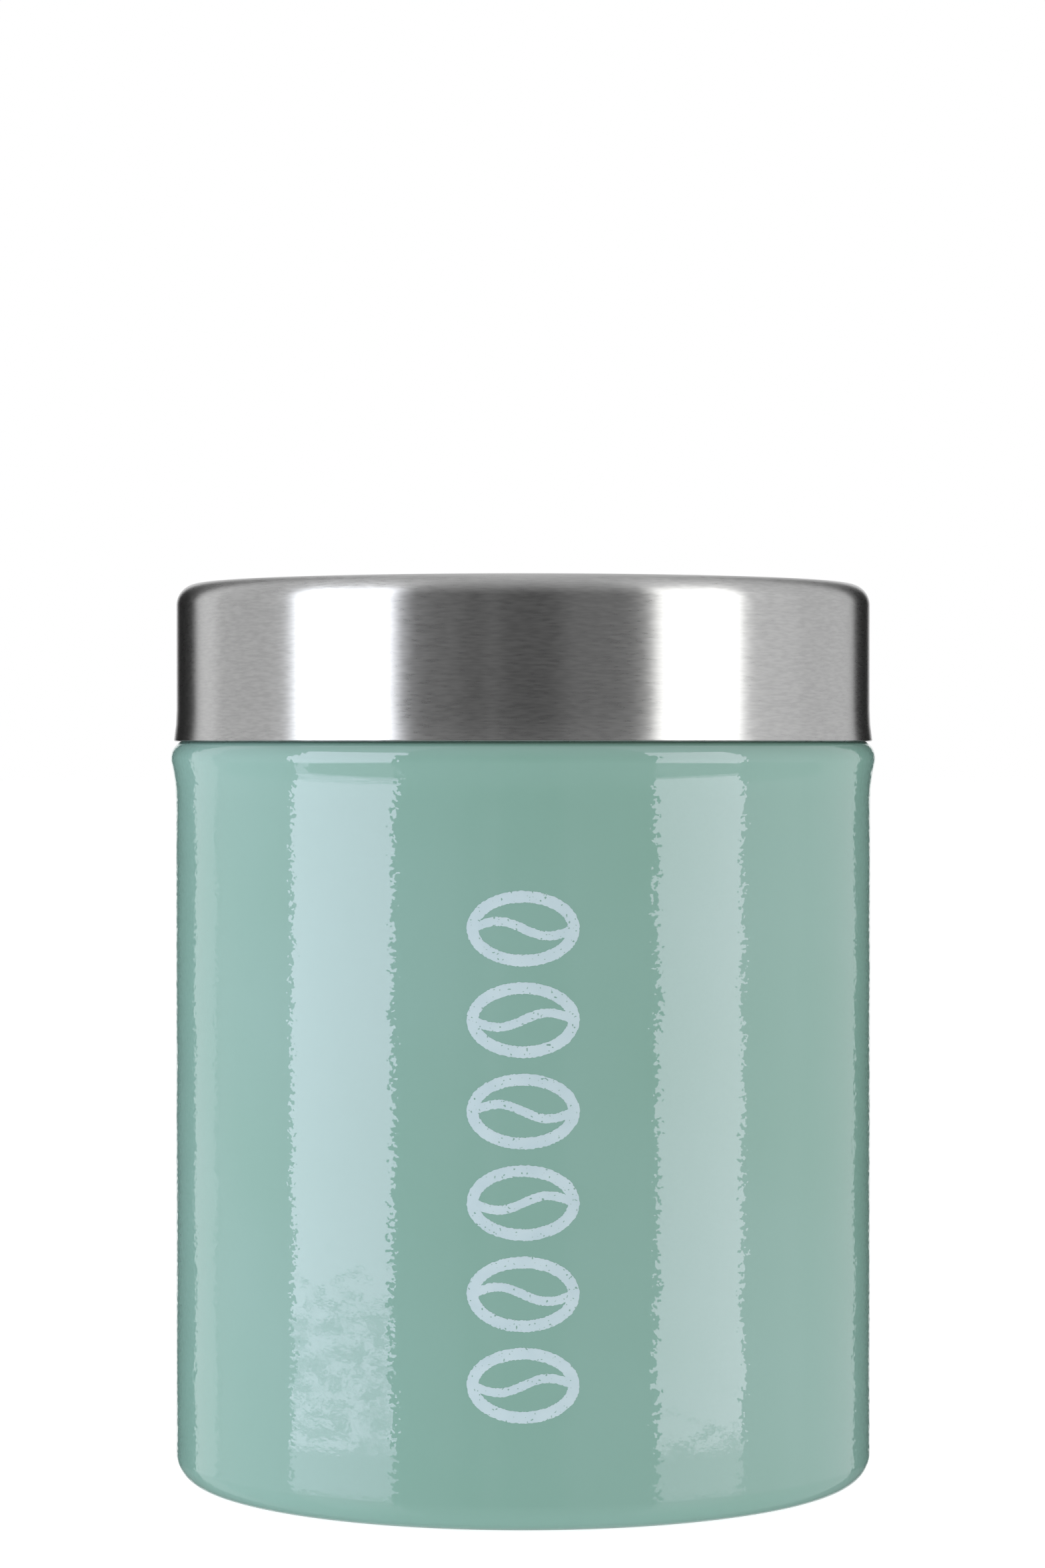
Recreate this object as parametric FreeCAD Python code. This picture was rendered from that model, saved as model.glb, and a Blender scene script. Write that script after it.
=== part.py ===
"""Round coffee tin with a push-on lid: an enamelled steel canister, and a brushed stainless lid with a seal.

Millimetres. The origin is the centre of the base on the surface that the tin stands on, +Z is up, and the
printed side faces -Y. Every piece is a body of revolution about +Z. A pressed sheet is drawn as the middle
line of the sheet, with a bend radius at each corner, and thickened to both sides.
"""

import FreeCAD, Part
import math
import os

# ---- canister ----
BODY_RADIUS = 54.5          # outside of the straight wall
WALL_SHEET = 0.8            # 0.5 mm steel with 0.15 mm of enamel on each side
BASE_CORNER = 4.2           # outside radius where the wall turns in under the tin
FOOT_INNER_RADIUS = 46.0    # inner edge of the turned-in foot ring
BEAD_RADIUS = 55.28         # outside of the shoulder bead at its widest
BEAD_HEIGHT = 112.8         # height of the bead's widest line
BEAD_ROUND = 3.0            # outside radius of the bead's section
BEAD_SLOPE = math.radians(11.5)  # lean of the wall as it runs out to the bead
BEAD_BLEND = 22.0           # bend radius between the straight wall and that lean
NECK_RADIUS = 50.4          # outside of the neck
NECK_BEND = 1.4             # bend radius, middle of the sheet, between shoulder and neck
RIM_TOP = 137.25            # top of the curled rim
CURL = 1.0                  # radius of the curl, middle of the sheet
BASE_UPSTAND = 8.6          # height of the base pan's turned-up edge
WELD_GAP = 0.05             # film between the base pan and the wall it is welded into
PANEL_RADIUS = 39.0         # stiffening panel pressed up in the base pan
PANEL_RISE = 1.0
PANEL_SLOPE_WIDTH = 1.4
PANEL_BEND = 1.5

# ---- lid ----
LID_TOP = 140.0
LID_BOTTOM = 115.45
LID_RADIUS = 54.35          # outside of the straight skirt
LID_SHEET = 0.5
LID_CORNER = 3.3            # outside radius between skirt and top
FLARE = 0.4                 # how far the skirt's lower edge stands out
FLARE_HEIGHT = 4.7
BOND_RADIUS = 41.0          # adhesive disc between the top and the dish
BOND_SHEET = 0.3
DISH_RADIUS = 47.0          # outside of the dish wall that carries the seal
DISH_SHEET = 0.4
DISH_CORNER = 1.5
DISH_LIP_BEND = 0.8
DISH_LIP_RADIUS = 48.8      # outer edge of the lip that holds the seal up
DISH_LIP_HEIGHT = 131.2     # middle of that lip

# ---- seal ----
SEAL_SLEEVE = 1.4           # thickness of the part that sits round the dish
SEAL_NECK_GAP = 0.1         # running gap between the fins and the neck
SEAL_RIM_GAP = 0.15         # gap between the flange and the rim
SEAL_FLANGE_RADIUS = 51.6   # the flange covers the curled rim
SEAL_FLANGE = 1.2
SEAL_TOP_GAP = 0.1
FIN_HEIGHTS = (132.2, 134.4)    # underside of each fin where it leaves the sleeve
FIN_ROOT = 1.0
FIN_TIP = 0.4
FIN_RISE = 0.8
SEAL_CHAMFER = 0.8          # clears the bend of the dish's lip
SEAL_BEVEL = 0.4            # top edge, against the lid
SEAL_ROUND = 0.3            # rounding of the seal's corners
SEAL_FLANGE_ROUND = 0.4
FIN_ROOT_ROUND = 0.2        # rounding where a fin's upper face meets the sleeve
FIN_TIP_ROUND = 0.15


def along(a, b):
    """Unit vector from point a to point b."""
    length = math.hypot(b[0] - a[0], b[1] - a[1])
    return ((b[0] - a[0]) / length, (b[1] - a[1]) / length)


def bend(before, corner, after, radius):
    """Start, middle and end of the arc that rounds a corner, each as (point, direction of travel)."""
    d1 = along(before, corner)
    d2 = along(corner, after)
    turn = math.atan2(d1[0] * d2[1] - d1[1] * d2[0], d1[0] * d2[0] + d1[1] * d2[1])
    reach = radius * math.tan(abs(turn) / 2)
    start = (corner[0] - d1[0] * reach, corner[1] - d1[1] * reach)
    end = (corner[0] + d2[0] * reach, corner[1] + d2[1] * reach)
    side = math.copysign(1.0, turn)
    centre = (start[0] - side * d1[1] * radius, start[1] + side * d1[0] * radius)
    outward = along(centre, corner)
    middle = (centre[0] + outward[0] * radius, centre[1] + outward[1] * radius)
    return [(start, d1), (middle, (-side * outward[1], side * outward[0])), (end, d2)]


def vector(point):
    """A point of the section, given as (radius, height), in space."""
    return FreeCAD.Vector(point[0], 0, point[1])


def line(a, b):
    """Straight edge, or nothing where the two points are one."""
    if math.hypot(b[0] - a[0], b[1] - a[1]) < 1e-6:
        return []
    return [Part.LineSegment(vector(a), vector(b)).toShape()]


def arc(a, b, c):
    """Edge on the circle through three points."""
    return [Part.Arc(vector(a), vector(b), vector(c)).toShape()]


def shifted(station, offset):
    """A point moved to the left of the direction of travel."""
    point, heading = station
    return (point[0] - heading[1] * offset, point[1] + heading[0] * offset)


def revolve(edges):
    """Solid of revolution about Z of the closed section made by these edges."""
    face = Part.Face(Part.Wire(Part.__sortEdges__(edges)))
    return face.revolve(FreeCAD.Vector(0, 0, 0), FreeCAD.Vector(0, 0, 1), 360)


def round_end(station, half, forward):
    """Half-round edge of a sheet, closing it at the first or last point of its middle line."""
    point, heading = station
    tip = (point[0] + forward * heading[0] * half, point[1] + forward * heading[1] * half)
    return arc(shifted(station, half), tip, shifted(station, -half))


def sheet(corners, bends, thickness):
    """Pressed sheet: corners of its middle line, the bend radius at each inner corner, and its thickness.

    An end on the axis is closed by the axis, and any other end is half round.
    """
    half = thickness / 2
    stations = [(corners[0], along(corners[0], corners[1]))]
    for index, radius in enumerate(bends, start=1):
        stations += bend(corners[index - 1], corners[index], corners[index + 1], radius)
    stations.append((corners[-1], along(corners[-2], corners[-1])))
    edges = []
    for offset in (half, -half):
        points = [shifted(station, offset) for station in stations]
        for first in range(0, len(points) - 1, 3):
            edges += line(points[first], points[first + 1])
            if first + 3 < len(points):
                edges += arc(*points[first + 1:first + 4])
    for station, forward in ((stations[0], -1), (stations[-1], 1)):
        if abs(station[0][0]) < 1e-6:
            edges += line(shifted(station, half), shifted(station, -half))
        else:
            edges += round_end(station, half, forward)
    return revolve(edges)


def moulding(outline):
    """Moulded ring: the corners of its closed section, each as (radius, height, rounding)."""
    points = [(r, z) for r, z, _ in outline]
    edges = []
    ends = []
    for index, (_, _, rounding) in enumerate(outline):
        after = points[(index + 1) % len(points)]
        start, middle, end = [point for point, _ in bend(points[index - 1], points[index], after, rounding)]
        edges += arc(start, middle, end)
        ends.append((start, end))
    for index, (start, _) in enumerate(ends):
        edges += line(ends[index - 1][1], start)
    return revolve(edges)


def body_wall():
    """Foot ring, straight wall, shoulder bead, neck and outward curl, in one sheet."""
    half = WALL_SHEET / 2
    middle = BODY_RADIUS - half
    bead = BEAD_ROUND - half
    bead_centre = (BEAD_RADIUS - BEAD_ROUND, BEAD_HEIGHT)
    touch = (bead_centre[0] + bead * math.cos(BEAD_SLOPE), bead_centre[1] - bead * math.sin(BEAD_SLOPE))
    ledge = BEAD_HEIGHT + bead
    lean_start = (middle, touch[1] - (touch[0] - middle) / math.tan(BEAD_SLOPE))
    shoulder = (touch[0] + (ledge - touch[1]) * math.tan(BEAD_SLOPE), ledge)
    neck = NECK_RADIUS - half
    curl_top = RIM_TOP - half
    curl_low = curl_top - 2 * CURL
    corners = [
        (FOOT_INNER_RADIUS + half, half),
        (middle, half),
        lean_start,
        shoulder,
        (neck, ledge),
        (neck, curl_top),
        (neck + 2 * CURL, curl_top),
        (neck + 2 * CURL, curl_low),
        (neck + CURL, curl_low),
    ]
    bends = [BASE_CORNER - half, BEAD_BLEND, bead, NECK_BEND, CURL, CURL, CURL]
    return sheet(corners, bends, WALL_SHEET)


def base_pan():
    """Bottom of the tin: a shallow pan nested in the wall's turned-in corner, with a panel pressed up."""
    half = WALL_SHEET / 2
    floor = WALL_SHEET + WELD_GAP + half
    edge = BODY_RADIUS - WALL_SHEET - WELD_GAP - half
    corner = BASE_CORNER - WALL_SHEET - WELD_GAP - half
    corners = [
        (0.0, floor + PANEL_RISE),
        (PANEL_RADIUS, floor + PANEL_RISE),
        (PANEL_RADIUS + PANEL_SLOPE_WIDTH, floor),
        (edge, floor),
        (edge, BASE_UPSTAND),
    ]
    return sheet(corners, [PANEL_BEND, PANEL_BEND, corner], WALL_SHEET)


def lid_shell():
    """Brushed cap: flared lower edge, straight skirt, rounded corner and flat top."""
    half = LID_SHEET / 2
    middle = LID_RADIUS - half
    lean = 2 * math.atan(FLARE / FLARE_HEIGHT)
    flare_bend = FLARE_HEIGHT / math.sin(lean)
    corners = [
        (middle + FLARE, LID_BOTTOM + half),
        (middle, LID_BOTTOM + half + FLARE / math.tan(lean)),
        (middle, LID_TOP - half),
        (0.0, LID_TOP - half),
    ]
    return sheet(corners, [flare_bend, LID_CORNER - half], LID_SHEET)


def lid_bond():
    """Disc of adhesive that holds the dish against the underside of the lid's top."""
    middle = LID_TOP - LID_SHEET - BOND_SHEET / 2
    return sheet([(0.0, middle), (BOND_RADIUS, middle)], [], BOND_SHEET)


def lid_dish():
    """Shallow pressed dish, open downwards, whose lip holds the seal against the lid's top."""
    half = DISH_SHEET / 2
    floor = LID_TOP - LID_SHEET - BOND_SHEET - half
    middle = DISH_RADIUS - half
    corners = [
        (0.0, floor),
        (middle, floor),
        (middle, DISH_LIP_HEIGHT),
        (DISH_LIP_RADIUS, DISH_LIP_HEIGHT),
    ]
    return sheet(corners, [DISH_CORNER, DISH_LIP_BEND], DISH_SHEET)


def lid_seal():
    """Silicone ring: a sleeve round the dish, two fins that wipe the neck, and a flange over the rim."""
    inner = DISH_RADIUS
    outer = inner + SEAL_SLEEVE
    tip = NECK_RADIUS - WALL_SHEET - SEAL_NECK_GAP
    foot = DISH_LIP_HEIGHT + DISH_SHEET / 2
    flange = RIM_TOP + SEAL_RIM_GAP
    top = LID_TOP - LID_SHEET - SEAL_TOP_GAP
    fins = []
    for root in FIN_HEIGHTS:
        fins += [
            (outer, root, SEAL_ROUND),
            (tip, root + FIN_RISE, FIN_TIP_ROUND),
            (tip, root + FIN_RISE + FIN_TIP, FIN_TIP_ROUND),
            (outer, root + FIN_ROOT, FIN_ROOT_ROUND),
        ]
    outline = [
        (inner + SEAL_CHAMFER, foot, SEAL_ROUND),
        (outer, foot, SEAL_ROUND),
        *fins,
        (outer, flange, SEAL_ROUND),
        (SEAL_FLANGE_RADIUS, flange, SEAL_FLANGE_ROUND),
        (SEAL_FLANGE_RADIUS, flange + SEAL_FLANGE, SEAL_FLANGE_ROUND),
        (outer + SEAL_BEVEL, top, SEAL_FLANGE_ROUND),
        (inner, top, SEAL_ROUND),
        (inner, foot + SEAL_CHAMFER, SEAL_ROUND),
    ]
    return moulding(outline)


def main():
    """Builds each piece and writes it to parts/NAME.step."""
    os.makedirs("parts", exist_ok=True)
    for piece in (body_wall, base_pan, lid_shell, lid_bond, lid_dish, lid_seal):
        solid = piece()
        name = piece.__name__
        print(f"{name}: valid {solid.isValid()}, {len(solid.Solids)} solid, {solid.Volume:.0f} mm3")
        solid.exportStep(os.path.join("parts", name + ".step"))


main()
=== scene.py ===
"""Looks of the coffee tin: mint enamel canister, brushed stainless push-on lid, in a plain white studio."""

import math
import random

import bpy
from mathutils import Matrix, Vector


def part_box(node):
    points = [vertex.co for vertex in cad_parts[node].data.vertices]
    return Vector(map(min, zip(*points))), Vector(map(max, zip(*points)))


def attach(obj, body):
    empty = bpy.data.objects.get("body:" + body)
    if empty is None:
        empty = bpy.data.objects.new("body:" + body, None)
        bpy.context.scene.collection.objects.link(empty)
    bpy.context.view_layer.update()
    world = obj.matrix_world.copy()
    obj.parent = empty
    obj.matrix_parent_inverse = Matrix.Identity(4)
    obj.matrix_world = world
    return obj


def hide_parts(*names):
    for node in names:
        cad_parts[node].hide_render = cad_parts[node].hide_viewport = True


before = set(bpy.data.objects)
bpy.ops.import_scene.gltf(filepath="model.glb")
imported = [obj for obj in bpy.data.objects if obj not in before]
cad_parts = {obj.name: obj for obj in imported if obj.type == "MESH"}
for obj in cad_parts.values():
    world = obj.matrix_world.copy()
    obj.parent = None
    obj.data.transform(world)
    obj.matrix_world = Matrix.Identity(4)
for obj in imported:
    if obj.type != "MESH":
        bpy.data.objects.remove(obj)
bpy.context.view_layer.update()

MM = 0.001
SEGMENTS = 288                      # facets round each turned piece
COINCIDENT = 0.001                  # points of a section nearer than this are one point
ARC_STEP = math.radians(6)          # largest turn between two points of a section's arc
ON_AXIS = 1e-6                      # a point of a section nearer the axis than this lies on it
SKIN = 1e-6                         # an offset that only says which face a point is on

# ---- sizes of the tin, millimetres; the section is drawn in (radius, height) ----
BODY_RADIUS = 54.5
WALL_SHEET = 0.8
BASE_CORNER = 4.2
FOOT_INNER_RADIUS = 46.0
BEAD_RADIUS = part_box("body_wall")[1].y / MM
BEAD_HEIGHT = 112.8
BEAD_ROUND = 3.0
BEAD_SLOPE = math.radians(11.5)
BEAD_BLEND = 22.0
NECK_RADIUS = 50.4
NECK_BEND = 1.4
RIM_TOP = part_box("body_wall")[1].z / MM
CURL = 1.0
WELD_GAP = 0.05
BASE_UPSTAND = 8.6
PANEL_RADIUS = 39.0
PANEL_RISE = 1.0
PANEL_SLOPE_WIDTH = 1.4
PANEL_BEND = 1.5
LID_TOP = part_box("lid_shell")[1].z / MM
LID_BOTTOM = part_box("lid_shell")[0].z / MM
LID_RADIUS = 54.35
LID_SHEET = 0.5
LID_CORNER = 3.3
FLARE = 0.4
FLARE_HEIGHT = 4.7
BOND_SHEET = 0.3
DISH_RADIUS = 47.0
DISH_SHEET = 0.4
DISH_CORNER = 1.5
DISH_LIP_BEND = 0.8
DISH_LIP_RADIUS = 48.8
DISH_LIP_HEIGHT = 131.2
SEAL_SLEEVE = 1.4
SEAL_NECK_GAP = 0.1
SEAL_RIM_GAP = 0.15
SEAL_FLANGE_RADIUS = 51.6
SEAL_FLANGE = 1.2
SEAL_TOP_GAP = 0.1
FIN_HEIGHTS = (132.2, 134.4)
FIN_ROOT = 1.0
FIN_TIP = 0.4
FIN_RISE = 0.8
SEAL_CHAMFER = 0.8
SEAL_BEVEL = 0.4
SEAL_ROUND = 0.3
SEAL_FLANGE_ROUND = 0.4
FIN_ROOT_ROUND = 0.2
FIN_TIP_ROUND = 0.15

# ---- printed column of coffee beans, millimetres ----
BEANS = 6
BEAN_WIDTH = 16.5
BEAN_HEIGHT = 11.0
BEAN_PITCH = 13.3
PRINT_MIDDLE = 55.0
STROKE = 1.7
CREASE_STROKE = 1.3
CREASE_SWING = 1.05
CREASE_SINK = 0.01                  # the crease's film is thinner, so it doesn't fight the outline's where they meet
INK_FILM = 0.03
INK_ROOT = 0.05                     # how far the film's edge reaches into the enamel
RAGGED = 0.07                       # roughness of the printed edge
PRINT_STEP = 0.22                   # distance between two points along a stroke
PRINT_SEED = 7
LINE_STEPS = 400                    # straight steps that a stroke's line is measured in
ROUNDING = 1e-9                     # allowance for rounding where a line is measured


# ================= sections =================

def along(a, b):
    """Unit vector from point a to point b."""
    length = math.hypot(b[0] - a[0], b[1] - a[1])
    return ((b[0] - a[0]) / length, (b[1] - a[1]) / length)


def bend(before, corner, after, radius):
    """Stations (point, heading) round the arc that rounds a corner."""
    d1 = along(before, corner)
    d2 = along(corner, after)
    turn = math.atan2(d1[0] * d2[1] - d1[1] * d2[0], d1[0] * d2[0] + d1[1] * d2[1])
    reach = radius * math.tan(abs(turn) / 2)
    start = (corner[0] - d1[0] * reach, corner[1] - d1[1] * reach)
    side = math.copysign(1.0, turn)
    centre = (start[0] - side * d1[1] * radius, start[1] + side * d1[0] * radius)
    steps = max(2, math.ceil(abs(turn) / ARC_STEP))
    stations = []
    for k in range(steps + 1):
        a = turn * k / steps
        heading = (d1[0] * math.cos(a) - d1[1] * math.sin(a), d1[0] * math.sin(a) + d1[1] * math.cos(a))
        point = (centre[0] + side * heading[1] * radius, centre[1] - side * heading[0] * radius)
        stations.append((point, heading))
    return stations


def beside(station, offset):
    """(point, normal) on the face that lies offset to the left of a station; a negative offset is to the right."""
    point, heading = station
    side = math.copysign(1.0, offset)
    place = (point[0] - heading[1] * offset, point[1] + heading[0] * offset)
    return place, (-heading[1] * side, heading[0] * side)


def half_round(station, half, forward):
    """(point, normal) round a sheet's cut edge, from its left face to its right face."""
    point, heading = station
    steps = math.ceil(math.pi / ARC_STEP)
    out = []
    for k in range(1, steps):
        a = math.pi * k / steps
        left, ahead = math.cos(a), math.sin(a) * forward
        normal = (-heading[1] * left + heading[0] * ahead, heading[0] * left + heading[1] * ahead)
        out.append(((point[0] + normal[0] * half, point[1] + normal[1] * half), normal))
    return out


def sheet_section(corners, bends, thickness):
    """Closed section of a pressed sheet, as (point, normal) in order; an end on the axis stays open there."""
    half = thickness / 2
    stations = [(corners[0], along(corners[0], corners[1]))]
    for index, radius in enumerate(bends, start=1):
        stations += bend(corners[index - 1], corners[index], corners[index + 1], radius)
    stations.append((corners[-1], along(corners[-2], corners[-1])))
    left = [beside(s, half) for s in stations]
    right = [beside(s, -half) for s in stations]
    last = [] if corners[-1][0] < ON_AXIS else half_round(stations[-1], half, 1)
    first = [] if corners[0][0] < ON_AXIS else half_round(stations[0], half, -1)
    return left + last + right[::-1] + first[::-1]


def moulded_section(outline):
    """Closed section of a moulded ring from its corners, each as (radius, height, rounding)."""
    points = [(r, z) for r, z, _ in outline]
    section = []
    for index, (_, _, rounding) in enumerate(outline):
        after = points[(index + 1) % len(points)]
        for station in bend(points[index - 1], points[index], after, rounding):
            section.append(beside(station, -SKIN))
    return section


# ================= meshes =================

def new_object(name, data):
    """Object linked into the scene."""
    made = bpy.data.objects.new(name, data)
    bpy.context.scene.collection.objects.link(made)
    return made


def new_piece(name, vertices, faces, body, normals=None):
    """Smooth-shaded mesh object, sizes in millimetres, that rides on a body."""
    mesh = bpy.data.meshes.new(name)
    mesh.from_pydata([Vector(v) * MM for v in vertices], [], faces)
    mesh.validate()
    mesh.shade_smooth()
    if normals:
        mesh.normals_split_custom_set_from_vertices(normals)
    piece = new_object(name, mesh)
    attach(piece, body)
    return piece


def turned(name, section, body):
    """Solid of revolution about Z of a closed section. A point of it on the axis is shared by its whole ring."""
    previous = section[-1:] + section[:-1]
    section = [p for p, before in zip(section, previous) if math.dist(p[0], before[0]) > COINCIDENT]
    vertices, normals, rings = [], [], []
    for (r, z), (nr, nz) in section:
        if r < ON_AXIS:
            rings.append([len(vertices)] * SEGMENTS)
            vertices.append((0, 0, z))
            normals.append((0, 0, math.copysign(1.0, nz)))
            continue
        rings.append(range(len(vertices), len(vertices) + SEGMENTS))
        for k in range(SEGMENTS):
            a = 2 * math.pi * (k + 0.5) / SEGMENTS
            vertices.append((r * math.cos(a), r * math.sin(a), z))
            normals.append((nr * math.cos(a), nr * math.sin(a), nz))
    faces = []
    for low, high in zip(rings, rings[1:] + rings[:1]):
        if low[0] == low[1] and high[0] == high[1]:
            continue
        for k in range(SEGMENTS):
            n = (k + 1) % SEGMENTS
            corners = [low[k], low[n], high[n], high[k]]
            faces.append([v for i, v in enumerate(corners) if v != corners[i - 1]])
    area = sum(p[0][0] * q[0][1] - q[0][0] * p[0][1] for p, q in zip(section, section[1:] + section[:1]))
    if area < 0:
        faces = [f[::-1] for f in faces]
    return new_piece(name, vertices, faces, body, normals)


def wall_piece():
    """Foot ring, straight wall, shoulder bead, neck and outward curl."""
    half = WALL_SHEET / 2
    middle = BODY_RADIUS - half
    bead = BEAD_ROUND - half
    bead_centre = (BEAD_RADIUS - BEAD_ROUND, BEAD_HEIGHT)
    touch = (bead_centre[0] + bead * math.cos(BEAD_SLOPE), bead_centre[1] - bead * math.sin(BEAD_SLOPE))
    ledge = BEAD_HEIGHT + bead
    neck = NECK_RADIUS - half
    curl_top = RIM_TOP - half
    curl_low = curl_top - 2 * CURL
    corners = [
        (FOOT_INNER_RADIUS + half, half),
        (middle, half),
        (middle, touch[1] - (touch[0] - middle) / math.tan(BEAD_SLOPE)),
        (touch[0] + (ledge - touch[1]) * math.tan(BEAD_SLOPE), ledge),
        (neck, ledge),
        (neck, curl_top),
        (neck + 2 * CURL, curl_top),
        (neck + 2 * CURL, curl_low),
        (neck + CURL, curl_low),
    ]
    bends = [BASE_CORNER - half, BEAD_BLEND, bead, NECK_BEND, CURL, CURL, CURL]
    return turned("enamelled_wall", sheet_section(corners, bends, WALL_SHEET), "canister")


def base_piece():
    """Shallow pan nested in the wall's foot, with a panel pressed up."""
    half = WALL_SHEET / 2
    floor = WALL_SHEET + WELD_GAP + half
    edge = BODY_RADIUS - WALL_SHEET - WELD_GAP - half
    corners = [
        (0.0, floor + PANEL_RISE),
        (PANEL_RADIUS, floor + PANEL_RISE),
        (PANEL_RADIUS + PANEL_SLOPE_WIDTH, floor),
        (edge, floor),
        (edge, BASE_UPSTAND),
    ]
    bends = [PANEL_BEND, PANEL_BEND, BASE_CORNER - WALL_SHEET - WELD_GAP - half]
    return turned("enamelled_base", sheet_section(corners, bends, WALL_SHEET), "canister")


def cap_piece():
    """Brushed cap: flared lower edge, straight skirt, rounded corner and flat top."""
    half = LID_SHEET / 2
    middle = LID_RADIUS - half
    lean = 2 * math.atan(FLARE / FLARE_HEIGHT)
    corners = [
        (middle + FLARE, LID_BOTTOM + half),
        (middle, LID_BOTTOM + half + FLARE / math.tan(lean)),
        (middle, LID_TOP - half),
        (0.0, LID_TOP - half),
    ]
    bends = [FLARE_HEIGHT / math.sin(lean), LID_CORNER - half]
    return turned("brushed_cap", sheet_section(corners, bends, LID_SHEET), "lid")


def dish_piece():
    """Shallow pressed dish inside the lid, with the lip that holds the seal."""
    half = DISH_SHEET / 2
    floor = LID_TOP - LID_SHEET - BOND_SHEET - half
    middle = DISH_RADIUS - half
    corners = [(0.0, floor), (middle, floor), (middle, DISH_LIP_HEIGHT), (DISH_LIP_RADIUS, DISH_LIP_HEIGHT)]
    bends = [DISH_CORNER, DISH_LIP_BEND]
    return turned("pressed_dish", sheet_section(corners, bends, DISH_SHEET), "lid")


def seal_piece():
    """Silicone ring: sleeve, two wiping fins and a flange over the rim."""
    outer = DISH_RADIUS + SEAL_SLEEVE
    tip = NECK_RADIUS - WALL_SHEET - SEAL_NECK_GAP
    foot = DISH_LIP_HEIGHT + DISH_SHEET / 2
    flange = RIM_TOP + SEAL_RIM_GAP
    top = LID_TOP - LID_SHEET - SEAL_TOP_GAP
    fins = []
    for root in FIN_HEIGHTS:
        fins += [
            (outer, root, SEAL_ROUND),
            (tip, root + FIN_RISE, FIN_TIP_ROUND),
            (tip, root + FIN_RISE + FIN_TIP, FIN_TIP_ROUND),
            (outer, root + FIN_ROOT, FIN_ROOT_ROUND),
        ]
    outline = [
        (DISH_RADIUS + SEAL_CHAMFER, foot, SEAL_ROUND),
        (outer, foot, SEAL_ROUND),
        *fins,
        (outer, flange, SEAL_ROUND),
        (SEAL_FLANGE_RADIUS, flange, SEAL_FLANGE_ROUND),
        (SEAL_FLANGE_RADIUS, flange + SEAL_FLANGE, SEAL_FLANGE_ROUND),
        (outer + SEAL_BEVEL, top, SEAL_FLANGE_ROUND),
        (DISH_RADIUS, top, SEAL_ROUND),
        (DISH_RADIUS, foot + SEAL_CHAMFER, SEAL_ROUND),
    ]
    return turned("silicone_seal", moulded_section(outline), "lid")


# ================= print =================

def wrapped(s, z, height):
    """Point at arc length s round the front of the wall, at height z, standing out by height."""
    a = s / BODY_RADIUS
    r = BODY_RADIUS + height
    return (r * math.sin(a), -r * math.cos(a), z)


def resampled(line, closed):
    """Points at even steps along a line given as a function of 0..1."""
    fine = [line(k / LINE_STEPS) for k in range(LINE_STEPS + 1)]
    length = sum(math.dist(a, b) for a, b in zip(fine, fine[1:]))
    count = round(length / PRINT_STEP)
    points, travelled, target = [], 0.0, 0.0
    for a, b in zip(fine, fine[1:]):
        step = math.dist(a, b)
        while target <= travelled + step + ROUNDING and len(points) <= count:
            t = (target - travelled) / step
            points.append((a[0] + (b[0] - a[0]) * t, a[1] + (b[1] - a[1]) * t))
            target += length / count
        travelled += step
    return points[:count] if closed else points


def stroke(line, closed, width, film, chance):
    """Vertices and faces of one printed stroke: a thin film with slightly ragged edges."""
    points = resampled(line, closed)
    count = len(points)
    vertices, faces = [], []
    for k, point in enumerate(points):
        before = points[k - 1] if closed or k else point
        after = points[(k + 1) % count] if closed or k + 1 < count else point
        heading = along(before, after)
        left = width / 2 + chance.uniform(-RAGGED, RAGGED)
        right = width / 2 + chance.uniform(-RAGGED, RAGGED)
        for offset, height in ((left, -INK_ROOT), (left, film), (-right, film), (-right, -INK_ROOT)):
            vertices.append(wrapped(point[0] - heading[1] * offset, point[1] + heading[0] * offset, height))
    for k in range(count if closed else count - 1):
        a, b = 4 * k, 4 * ((k + 1) % count)
        faces += [[a + i, a + (i + 1) % 4, b + (i + 1) % 4, b + i] for i in range(4)]
    if not closed:
        end = 4 * (count - 1)
        faces += [[3, 2, 1, 0], [end, end + 1, end + 2, end + 3]]
    return vertices, faces


def bean_lines(middle, flip):
    """Outline and crease of one bean, as functions of 0..1 in (arc length, height)."""
    a = (BEAN_WIDTH - STROKE) / 2
    b = (BEAN_HEIGHT - STROKE) / 2

    def outline(t):
        return (a * math.cos(2 * math.pi * t), middle + b * math.sin(2 * math.pi * t))

    def crease(t):
        return (a * (2 * t - 1), middle + flip * CREASE_SWING * math.sin(2 * math.pi * t))

    return outline, crease


def print_piece():
    """Column of outlined coffee beans printed on the front of the wall."""
    chance = random.Random(PRINT_SEED)
    vertices, faces = [], []
    for index in range(BEANS):
        middle = PRINT_MIDDLE + (index - (BEANS - 1) / 2) * BEAN_PITCH
        outline, crease = bean_lines(middle, 1 if index % 2 else -1)
        for line, closed, width, film in ((outline, True, STROKE, INK_FILM),
                                          (crease, False, CREASE_STROKE, INK_FILM - CREASE_SINK)):
            v, f = stroke(line, closed, width, film, chance)
            faces += [[i + len(vertices) for i in face] for face in f]
            vertices += v
    piece = new_piece("bean_print", vertices, faces, "canister")
    piece.data.shade_flat()
    return piece


# ================= materials =================

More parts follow.
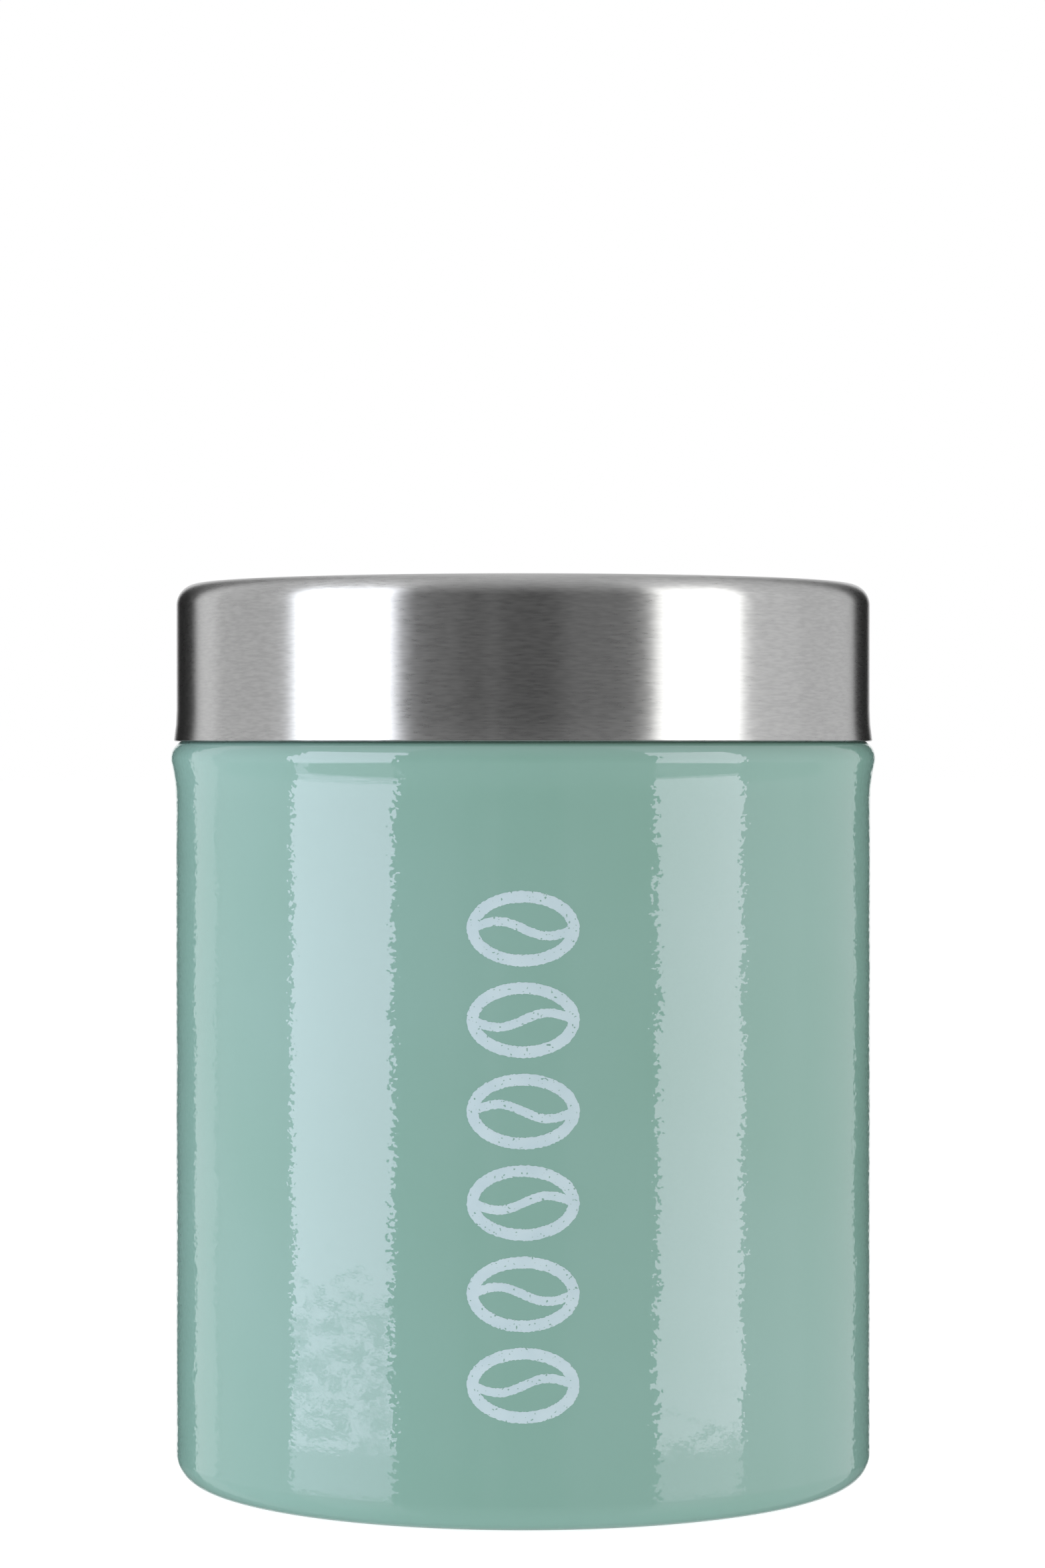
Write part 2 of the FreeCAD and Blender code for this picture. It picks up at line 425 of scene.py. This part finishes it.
AXIS_GUARD = 1e-6                   # metres; keeps a division off zero on the axis
FINE_LEAN = 0.10                    # how far the enamel's normals lean sideways, from its fine noise
SWELL_LEAN = 0.04                   # and from its broad one
ENAMEL_BUMP = 1.5e-6                # heights of bumps, metres
BRUSH_BUMP = 2e-6
ROLLED_BUMP = 4e-6
SILICONE_BUMP = 1e-5
ADHESIVE_BUMP = 3e-5
INK_BUMP = 1e-5
HAIR_SHARE = 0.8                    # parts of the brushing that are short hairs and long streaks
STREAK_SHARE = 0.2


class Nodes:
    """A node tree with short calls to add and join nodes."""

    def __init__(self, tree):
        self.tree = tree
        tree.nodes.clear()

    def add(self, kind, settings=None, **inputs):
        node = self.tree.nodes.new(kind)
        for key, value in (settings or {}).items():
            setattr(node, key, value)
        for key, value in inputs.items():
            self.put(node.inputs[key.replace("_", " ")], value)
        return node

    def put(self, socket, value):
        if isinstance(value, bpy.types.NodeSocket):
            self.tree.links.new(value, socket)
        else:
            socket.default_value = value

    def math(self, operation, a, b=0.0, c=0.0):
        node = self.tree.nodes.new("ShaderNodeMath")
        node.operation = operation
        for socket, value in zip(node.inputs, (a, b, c)):
            self.put(socket, value)
        return node.outputs[0]

    def remap(self, value, low, high, to_low, to_high, smooth=False):
        node = self.tree.nodes.new("ShaderNodeMapRange")
        if smooth:
            node.interpolation_type = "SMOOTHSTEP"
        for socket, v in zip(node.inputs, (value, low, high, to_low, to_high)):
            self.put(socket, v)
        return node.outputs[0]

    def mix(self, factor, a, b):
        node = self.tree.nodes.new("ShaderNodeMix")
        node.data_type = "RGBA"
        self.put(node.inputs[0], factor)
        self.put(node.inputs[6], a)
        self.put(node.inputs[7], b)
        return node.outputs[2]

    def noise(self, vector, scale, detail=2.0, roughness=0.5):
        node = self.add("ShaderNodeTexNoise", Vector=vector, Scale=scale, Detail=detail, Roughness=roughness)
        return node.outputs[0]

    def bump(self, height, distance, normal=None):
        node = self.add("ShaderNodeBump", Height=height, Distance=distance, Strength=1.0)
        if normal is not None:
            self.put(node.inputs["Normal"], normal)
        return node.outputs[0]

    def lean(self, slope):
        """Normal tilted sideways round the axis by a slope, so that a reflection's upright edges waver."""
        across = self.add("ShaderNodeTangent", {"direction_type": "RADIAL", "axis": "Z"}).outputs[0]
        straight = self.tree.nodes.new("ShaderNodeNewGeometry").outputs["Normal"]
        step = self.add("ShaderNodeVectorMath", {"operation": "SCALE"}, Vector=across, Scale=slope).outputs[0]
        both = self.tree.nodes.new("ShaderNodeVectorMath")
        for socket, vector in zip(both.inputs, (straight, step)):
            self.put(socket, vector)
        return self.add("ShaderNodeVectorMath", {"operation": "NORMALIZE"}, Vector=both.outputs[0]).outputs[0]

    def place(self):
        return self.tree.nodes.new("ShaderNodeTexCoord").outputs["Object"]

    def spun(self, stretch):
        """Coordinates that run round the axis: a pattern drawn on them is stretched along the circumference."""
        x, y, z = self.add("ShaderNodeSeparateXYZ", Vector=self.place()).outputs
        squares = self.math("ADD", self.math("MULTIPLY", x, x), self.math("MULTIPLY", y, y))
        radius = self.math("MAXIMUM", self.math("SQRT", squares), AXIS_GUARD)
        reach = BODY_RADIUS * MM / stretch
        u = self.math("MULTIPLY", self.math("DIVIDE", x, radius), reach)
        v = self.math("MULTIPLY", self.math("DIVIDE", y, radius), reach)
        w = self.math("SUBTRACT", z, radius)
        return self.add("ShaderNodeCombineXYZ", X=u, Y=v, Z=w).outputs[0]


def colour(r, g, b):
    return (r, g, b, 1.0)


def node_material(name):
    """Empty material made of nodes, and its tree."""
    made = bpy.data.materials.new(name)
    made.use_nodes = True
    return made, Nodes(made.node_tree)


def material(name, build):
    """Material with a Principled shader; build sets its sockets."""
    made, nodes = node_material(name)
    shader = nodes.add("ShaderNodeBsdfPrincipled")
    nodes.add("ShaderNodeOutputMaterial", Surface=shader.outputs[0])
    build(nodes, shader)
    return made


def enamel(nodes, shader):
    """Glossy mint enamel over steel: faint drift of colour, uneven gloss, wavering edges to reflections."""
    deep, pale = colour(0.204, 0.366, 0.320), colour(0.216, 0.375, 0.337)
    drift = nodes.noise(nodes.place(), scale=24.0, detail=3.0)
    tone = nodes.remap(drift, 0.35, 0.65, 0.0, 1.0)
    nodes.put(shader.inputs["Base Color"], nodes.mix(tone, deep, pale))
    haze = nodes.noise(nodes.spun(2.0), scale=240.0, detail=3.0, roughness=0.6)
    nodes.put(shader.inputs["Roughness"], nodes.remap(haze, 0.35, 0.7, 0.010, 0.030))
    shader.inputs["IOR"].default_value = 1.6
    shader.inputs["Specular IOR Level"].default_value = 0.74
    shader.inputs["Specular Tint"].default_value = colour(0.94, 0.82, 1.0)
    fine = nodes.noise(nodes.spun(1.2), scale=1500.0, detail=1.0)
    swell = nodes.noise(nodes.spun(1.3), scale=110.0, detail=1.0)
    waves = nodes.math("ADD", nodes.math("MULTIPLY", fine, FINE_LEAN), nodes.math("MULTIPLY", swell, SWELL_LEAN))
    # Noise is about one half on average, so this leaves the normals upright on average.
    lean = nodes.lean(nodes.math("SUBTRACT", waves, (FINE_LEAN + SWELL_LEAN) / 2))
    nodes.put(shader.inputs["Normal"], nodes.bump(fine, ENAMEL_BUMP, lean))


def brushed_steel(nodes, shader):
    """Stainless steel brushed round the axis: short hairlines that spread light across the grain."""
    dark, bright = colour(0.545, 0.545, 0.545), colour(0.635, 0.635, 0.633)
    hair = nodes.noise(nodes.spun(6.0), scale=3000.0, detail=1.0)
    streak = nodes.noise(nodes.spun(16.0), scale=1500.0, detail=2.0, roughness=0.6)
    cloud = nodes.noise(nodes.place(), scale=45.0)
    mixed = nodes.math("ADD", nodes.math("MULTIPLY", hair, HAIR_SHARE), nodes.math("MULTIPLY", streak, STREAK_SHARE))
    level = nodes.remap(mixed, 0.35, 0.65, 0.0, 1.0)
    nodes.put(shader.inputs["Base Color"], nodes.mix(level, dark, bright))
    shader.inputs["Metallic"].default_value = 1.0
    clouded = nodes.math("ADD", mixed, nodes.math("MULTIPLY", cloud, 0.4))
    nodes.put(shader.inputs["Roughness"], nodes.remap(clouded, 0.5, 0.9, 0.27, 0.31))
    shader.inputs["Anisotropic"].default_value = 0.9
    shader.inputs["Anisotropic Rotation"].default_value = 0.25
    tangent = nodes.add("ShaderNodeTangent", {"direction_type": "RADIAL", "axis": "Z"})
    nodes.put(shader.inputs["Tangent"], tangent.outputs[0])
    nodes.put(shader.inputs["Normal"], nodes.bump(mixed, BRUSH_BUMP))


def rolled_steel(nodes, shader):
    """Plain stainless sheet as it comes from the press: satin, with faint drawing marks."""
    dark, bright = colour(0.50, 0.50, 0.50), colour(0.60, 0.60, 0.595)
    grain = nodes.noise(nodes.spun(10.0), scale=1500.0, detail=3.0, roughness=0.6)
    cloud = nodes.noise(nodes.place(), scale=70.0, detail=3.0)
    level = nodes.remap(nodes.math("ADD", grain, cloud), 0.8, 1.2, 0.0, 1.0)
    nodes.put(shader.inputs["Base Color"], nodes.mix(level, dark, bright))
    shader.inputs["Metallic"].default_value = 1.0
    nodes.put(shader.inputs["Roughness"], nodes.remap(cloud, 0.3, 0.7, 0.26, 0.36))
    nodes.put(shader.inputs["Normal"], nodes.bump(grain, ROLLED_BUMP))


def silicone(nodes, shader):
    """Translucent white silicone, satin, with a trace of dust."""
    dull, white, dusty = colour(0.70, 0.71, 0.70), colour(0.77, 0.78, 0.77), colour(0.42, 0.41, 0.39)
    place = nodes.place()
    cloud = nodes.noise(place, scale=160.0, detail=3.0)
    dust = nodes.remap(nodes.noise(place, scale=3200.0, detail=1.0), 0.70, 0.78, 0.0, 0.35)
    base = nodes.mix(nodes.remap(cloud, 0.3, 0.7, 0.0, 1.0), dull, white)
    nodes.put(shader.inputs["Base Color"], nodes.mix(dust, base, dusty))
    nodes.put(shader.inputs["Roughness"], nodes.remap(cloud, 0.3, 0.7, 0.38, 0.5))
    shader.inputs["Subsurface Weight"].default_value = 0.35
    shader.inputs["Subsurface Radius"].default_value = (1.0, 0.9, 0.8)
    shader.inputs["Subsurface Scale"].default_value = 0.0012
    nodes.put(shader.inputs["Normal"], nodes.bump(nodes.noise(place, scale=1800.0), SILICONE_BUMP))


def adhesive(nodes, shader):
    """Set adhesive: pale amber film with small bubbles."""
    amber, pale = colour(0.70, 0.67, 0.58), colour(0.80, 0.78, 0.71)
    bubbles = nodes.noise(nodes.place(), scale=900.0, detail=1.0)
    level = nodes.remap(bubbles, 0.5, 0.7, 0.0, 1.0)
    nodes.put(shader.inputs["Base Color"], nodes.mix(level, amber, pale))
    nodes.put(shader.inputs["Roughness"], nodes.remap(bubbles, 0.3, 0.7, 0.35, 0.6))
    nodes.put(shader.inputs["Normal"], nodes.bump(bubbles, ADHESIVE_BUMP))


def ink(nodes, shader):
    """Pale screen-printed ink with fine pinholes that show the enamel."""
    deep, pale, mint = colour(0.434, 0.556, 0.620), colour(0.470, 0.588, 0.650), colour(0.18, 0.32, 0.29)
    place = nodes.place()
    body = nodes.noise(place, scale=260.0)
    holes = nodes.remap(nodes.noise(place, scale=2600.0, detail=0.0), 0.74, 0.79, 0.0, 1.0)
    film = nodes.mix(nodes.remap(body, 0.3, 0.7, 0.0, 1.0), deep, pale)
    nodes.put(shader.inputs["Base Color"], nodes.mix(holes, film, mint))
    nodes.put(shader.inputs["Roughness"], nodes.remap(body, 0.3, 0.7, 0.32, 0.45))
    nodes.put(shader.inputs["Normal"], nodes.bump(nodes.noise(place, scale=1500.0), INK_BUMP))


# ================= studio =================

# Softboxes: curved upright panels round the tin. Azimuths run from the camera, clockwise from above, in degrees.
PANEL_REACH = 0.7                   # metres from the tin's axis
PANEL_TOP = 0.58                    # heights over the floor, metres
PANEL_FOOT = -0.0915                # from here down to its edge a panel only glows weakly
PANEL_EDGE = -0.1045
PANEL_FOOT_FADE = 0.001
PANEL_WEAK = 0.52                   # share of its light that the foot and the creases keep
HEM_ACROSS = 0.14                   # scale of the creases per degree round the tin
HEM_ALONG = 260.0                   # and per metre of height
HEM_FADE = 0.02                     # softness of a crease's edge
HEM_BARE_FULL = 0.30                # noise below which a crease shows, at the two heights of a panel's hem
HEM_BARE_HALF = 0.50
# Each panel: azimuth and light at its left edge, the same at its right edge, and the two heights, in metres,
# between which its hem goes from few creases to many. The creases are in the light and not in the enamel.
PANELS = {
    "left_softbox": (-77.5, (3.15, 3.25, 3.4), -40.9, (2.95, 3.0, 3.15), -0.026, -0.052),
    "right_softbox": (42.2, (2.5, 2.5, 2.45), 73.0, (3.05, 3.05, 3.0), -0.070, -0.090),
}
# Azimuth where each level of the surroundings begins; the last runs on to the first. The edges were worked out
# from where reflections begin and end in the photograph, and then adjusted beside it.
LEVELS = [
    (-180.0, 1.0),
    (-166.0, 0.02),
    (-137.5, 0.86),
    (-120.0, 0.42),
    (-118.7, 0.63),
    (-79.0, 1.0),
    (-44.0, 0.15),
    (-20.0, 0.085),
    (-11.5, 0.17),
    (-7.5, 0.065),
    (13.0, 0.17),
    (45.0, 1.0),
    (74.5, 0.80),
    (103.0, 0.70),
    (141.0, 0.02),
    (166.0, 1.0),
]
EDGE = 0.5                          # half width of the soft step between two levels, degrees
CEILING_START = 10.0                # elevations between which the surroundings fade into the ceiling, degrees
CEILING_FULL = 85.0
FLOOR_START = -12.0                 # and between which they fade into the floor
FLOOR_FULL = -60.0
FLOOR_VEIL = 0.35                   # how much the floor hides of them where it starts
OVERHEAD = 0.65
BELOW = 0.28
GLOW_RADIUS = 0.14                  # the floor glows more inside this radius, metres
GLOW_FADE = 0.03
GLOW = 0.22
FLOOR_REACH = 12.0
FLOOR_SIDES = 128
FLOOR_LIFT = 0.42                   # light that the floor gives of itself, and more of it that only the camera sees
FLOOR_SEEN = 0.12
FLOOR_TINT = (0.98, 0.97, 0.98)
FILL_SIZE = 0.7
FILL_AIM = (0, 0, 0.07)
FILLS = {                           # soft fills that aren't reflected: place in metres, power and colour
    "right_fill": ((0.6, -1.10, 0.30), 1.3, (1.0, 0.84, 0.40)),
    "front_fill": ((-0.2, -1.30, 0.15), 0.4, (1.0, 0.97, 0.90)),
    "left_fill": ((-1.25, -0.12, 0.20), 5.4, (1.06, 0.97, 1.04)),
}
CAMERA_PLACE = (-0.0001, -0.7124, 0.1157)
CAMERA_PITCH = 0.56                 # degrees below level
CAMERA_LENS = 104.0                 # millimetres, as is the sensor's longer side
CAMERA_SENSOR = 36.0
CAMERA_NEAR = 0.01


def level_colour(level):
    return colour(level, level, level)


def azimuth_of(nodes, place):
    """Azimuth of a place or direction from the camera, clockwise from above, in degrees, and its third coordinate."""
    x, y, z = nodes.add("ShaderNodeSeparateXYZ", Vector=place).outputs
    return nodes.math("DEGREES", nodes.math("ARCTAN2", x, nodes.math("MULTIPLY", y, -1.0))), z


def ramp_of_levels(nodes, azimuth):
    """Colour ramp round the horizon, with a short soft step at each edge."""
    ramp = nodes.add("ShaderNodeValToRGB", Fac=nodes.remap(azimuth, -180.0, 180.0, 0.0, 1.0))
    stops = [(0.0, LEVELS[0][1])]
    for (_, level), (start, following) in zip(LEVELS, LEVELS[1:]):
        stops.append(((start - EDGE + 180) / 360, level))
        stops.append(((start + EDGE + 180) / 360, following))
    elements = ramp.color_ramp.elements
    while len(elements) < len(stops):
        elements.new(1.0)
    for element, (at, level) in zip(elements, stops):
        element.position = at
        element.color = level_colour(level)
    return ramp.outputs[0]


def studio_surroundings():
    """World: grey and black levels round the tin, a dim ceiling, and plain white for the camera's background."""
    world = bpy.data.worlds.new("studio")
    bpy.context.scene.world = world
    world.use_nodes = True
    nodes = Nodes(world.node_tree)
    azimuth, rise = azimuth_of(nodes, nodes.tree.nodes.new("ShaderNodeTexCoord").outputs["Generated"])
    elevation = nodes.math("DEGREES", nodes.math("ARCSINE", rise))
    ceiling = nodes.remap(elevation, CEILING_START, CEILING_FULL, 0.0, 1.0)
    around = ramp_of_levels(nodes, azimuth)
    upper = nodes.mix(ceiling, around, level_colour(OVERHEAD))
    veil = nodes.remap(elevation, FLOOR_FULL, FLOOR_START, 1.0, FLOOR_VEIL)
    lower = nodes.mix(veil, around, level_colour(BELOW))
    floor = nodes.remap(elevation, FLOOR_START - EDGE, FLOOR_START + EDGE, 0.0, 1.0, smooth=True)
    whole = nodes.mix(floor, lower, upper)
    seen = nodes.tree.nodes.new("ShaderNodeLightPath").outputs["Is Camera Ray"]
    background = nodes.add("ShaderNodeBackground", Color=nodes.mix(seen, whole, level_colour(1.0)))
    nodes.add("ShaderNodeOutputWorld", Surface=background.outputs[0])


def studio_panel(name, first, first_light, last, last_light, full, half):
    """Curved upright softbox that the camera doesn't see, with a creased hem."""
    steps = math.ceil(last - first)
    vertices = []
    for k in range(steps + 1):
        a = math.radians(first + (last - first) * k / steps)
        for z in (PANEL_EDGE, PANEL_TOP):
            vertices.append((PANEL_REACH * math.sin(a), -PANEL_REACH * math.cos(a), z))
    faces = [(2 * k, 2 * k + 1, 2 * k + 3, 2 * k + 2) for k in range(steps)]
    mesh = bpy.data.meshes.new(name)
    mesh.from_pydata(vertices, [], faces)
    panel = new_object(name, mesh)
    made, nodes = node_material(name)
    azimuth, height = azimuth_of(nodes, nodes.place())
    light = nodes.mix(nodes.remap(azimuth, first, last, 0.0, 1.0), colour(*first_light), colour(*last_light))
    u = nodes.math("MULTIPLY", azimuth, HEM_ACROSS)
    v = nodes.math("MULTIPLY", height, HEM_ALONG)
    cloth = nodes.add("ShaderNodeCombineXYZ", X=u, Y=v).outputs[0]
    creases = nodes.noise(cloth, scale=1.0, detail=4.0, roughness=0.75)
    bare = nodes.remap(height, half, full, HEM_BARE_HALF, HEM_BARE_FULL)
    shade = nodes.remap(nodes.math("SUBTRACT", creases, bare), -HEM_FADE, HEM_FADE, PANEL_WEAK, 1.0)
    low, high = PANEL_FOOT - PANEL_FOOT_FADE, PANEL_FOOT + PANEL_FOOT_FADE
    strength = nodes.remap(height, low, high, PANEL_WEAK, shade)
    glow = nodes.add("ShaderNodeEmission", Color=light, Strength=strength)
    nodes.add("ShaderNodeOutputMaterial", Surface=glow.outputs[0])
    mesh.materials.append(made)
    panel.visible_camera = False


def studio_fill(name, place, power, tint):
    """Soft fill light that reaches the matt part of a surface and isn't seen in its gloss."""
    data = bpy.data.lights.new(name, "AREA")
    data.shape = "DISK"
    data.size = FILL_SIZE
    data.energy = power
    data.color = tint
    fill = new_object(name, data)
    fill.location = place
    fill.rotation_euler = (Vector(FILL_AIM) - Vector(place)).to_track_quat("-Z", "Y").to_euler()
    fill.visible_glossy = False


def studio_floor():
    """Plain white floor that also glows a little, more so near the tin. It isn't reflected."""
    bpy.ops.mesh.primitive_circle_add(vertices=FLOOR_SIDES, radius=FLOOR_REACH, fill_type="NGON")
    floor = bpy.context.object
    floor.name = "studio_floor"
    made, nodes = node_material("floor")
    seen = nodes.tree.nodes.new("ShaderNodeLightPath").outputs["Is Camera Ray"]
    tone = nodes.noise(nodes.place(), scale=3.0)
    white = nodes.mix(tone, level_colour(0.84), level_colour(0.86))
    matt = nodes.add("ShaderNodeBsdfDiffuse", Color=white)
    distance = nodes.add("ShaderNodeVectorMath", {"operation": "LENGTH"}, Vector=nodes.place()).outputs["Value"]
    plain = nodes.math("MULTIPLY_ADD", seen, FLOOR_SEEN, FLOOR_LIFT)
    glow = nodes.remap(distance, GLOW_RADIUS - GLOW_FADE, GLOW_RADIUS + GLOW_FADE, GLOW, 0.0)
    strength = nodes.math("ADD", plain, glow)
    lift = nodes.add("ShaderNodeEmission", Color=colour(*FLOOR_TINT), Strength=strength)
    both = nodes.tree.nodes.new("ShaderNodeAddShader")
    for socket, part in zip(both.inputs, (matt, lift)):
        nodes.put(socket, part.outputs[0])
    nodes.add("ShaderNodeOutputMaterial", Surface=both.outputs[0])
    floor.data.materials.append(made)
    floor.visible_glossy = False


def studio_camera():
    """Camera in front of the printed side, just below the lid's height."""
    data = bpy.data.cameras.new("camera")
    data.lens = CAMERA_LENS
    data.sensor_width = CAMERA_SENSOR
    camera = new_object("camera", data)
    camera.location = CAMERA_PLACE
    camera.rotation_euler = (math.radians(90 - CAMERA_PITCH), 0, 0)
    data.clip_start = CAMERA_NEAR
    bpy.context.scene.camera = camera


# ================= making =================

def dress(piece, build, slot, *replaced):
    """Gives a piece its material, and hides the CAD nodes that it stands for. Its record slot is not used."""
    piece.data.materials.clear()
    piece.data.materials.append(MATERIALS[build])
    if replaced:
        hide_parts(*replaced)


MATERIALS = {build: material(build.__name__, build)
             for build in (enamel, brushed_steel, rolled_steel, silicone, adhesive, ink)}

dress(wall_piece(), enamel, "enamel", "body_wall")
dress(base_piece(), enamel, "enamel", "base_pan")
dress(cap_piece(), brushed_steel, "lid_steel", "lid_shell")
dress(dish_piece(), rolled_steel, "dish_steel", "lid_dish")
dress(seal_piece(), silicone, "silicone", "lid_seal")
dress(print_piece(), ink, "print_ink")
dress(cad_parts["lid_bond"], adhesive, None)

studio_surroundings()
for panel_name, shape in PANELS.items():
    studio_panel(panel_name, *shape)
for fill_name, shape in FILLS.items():
    studio_fill(fill_name, *shape)
studio_floor()
studio_camera()
bpy.context.scene.view_settings.view_transform = "Standard"
bpy.context.scene.render.film_transparent = False
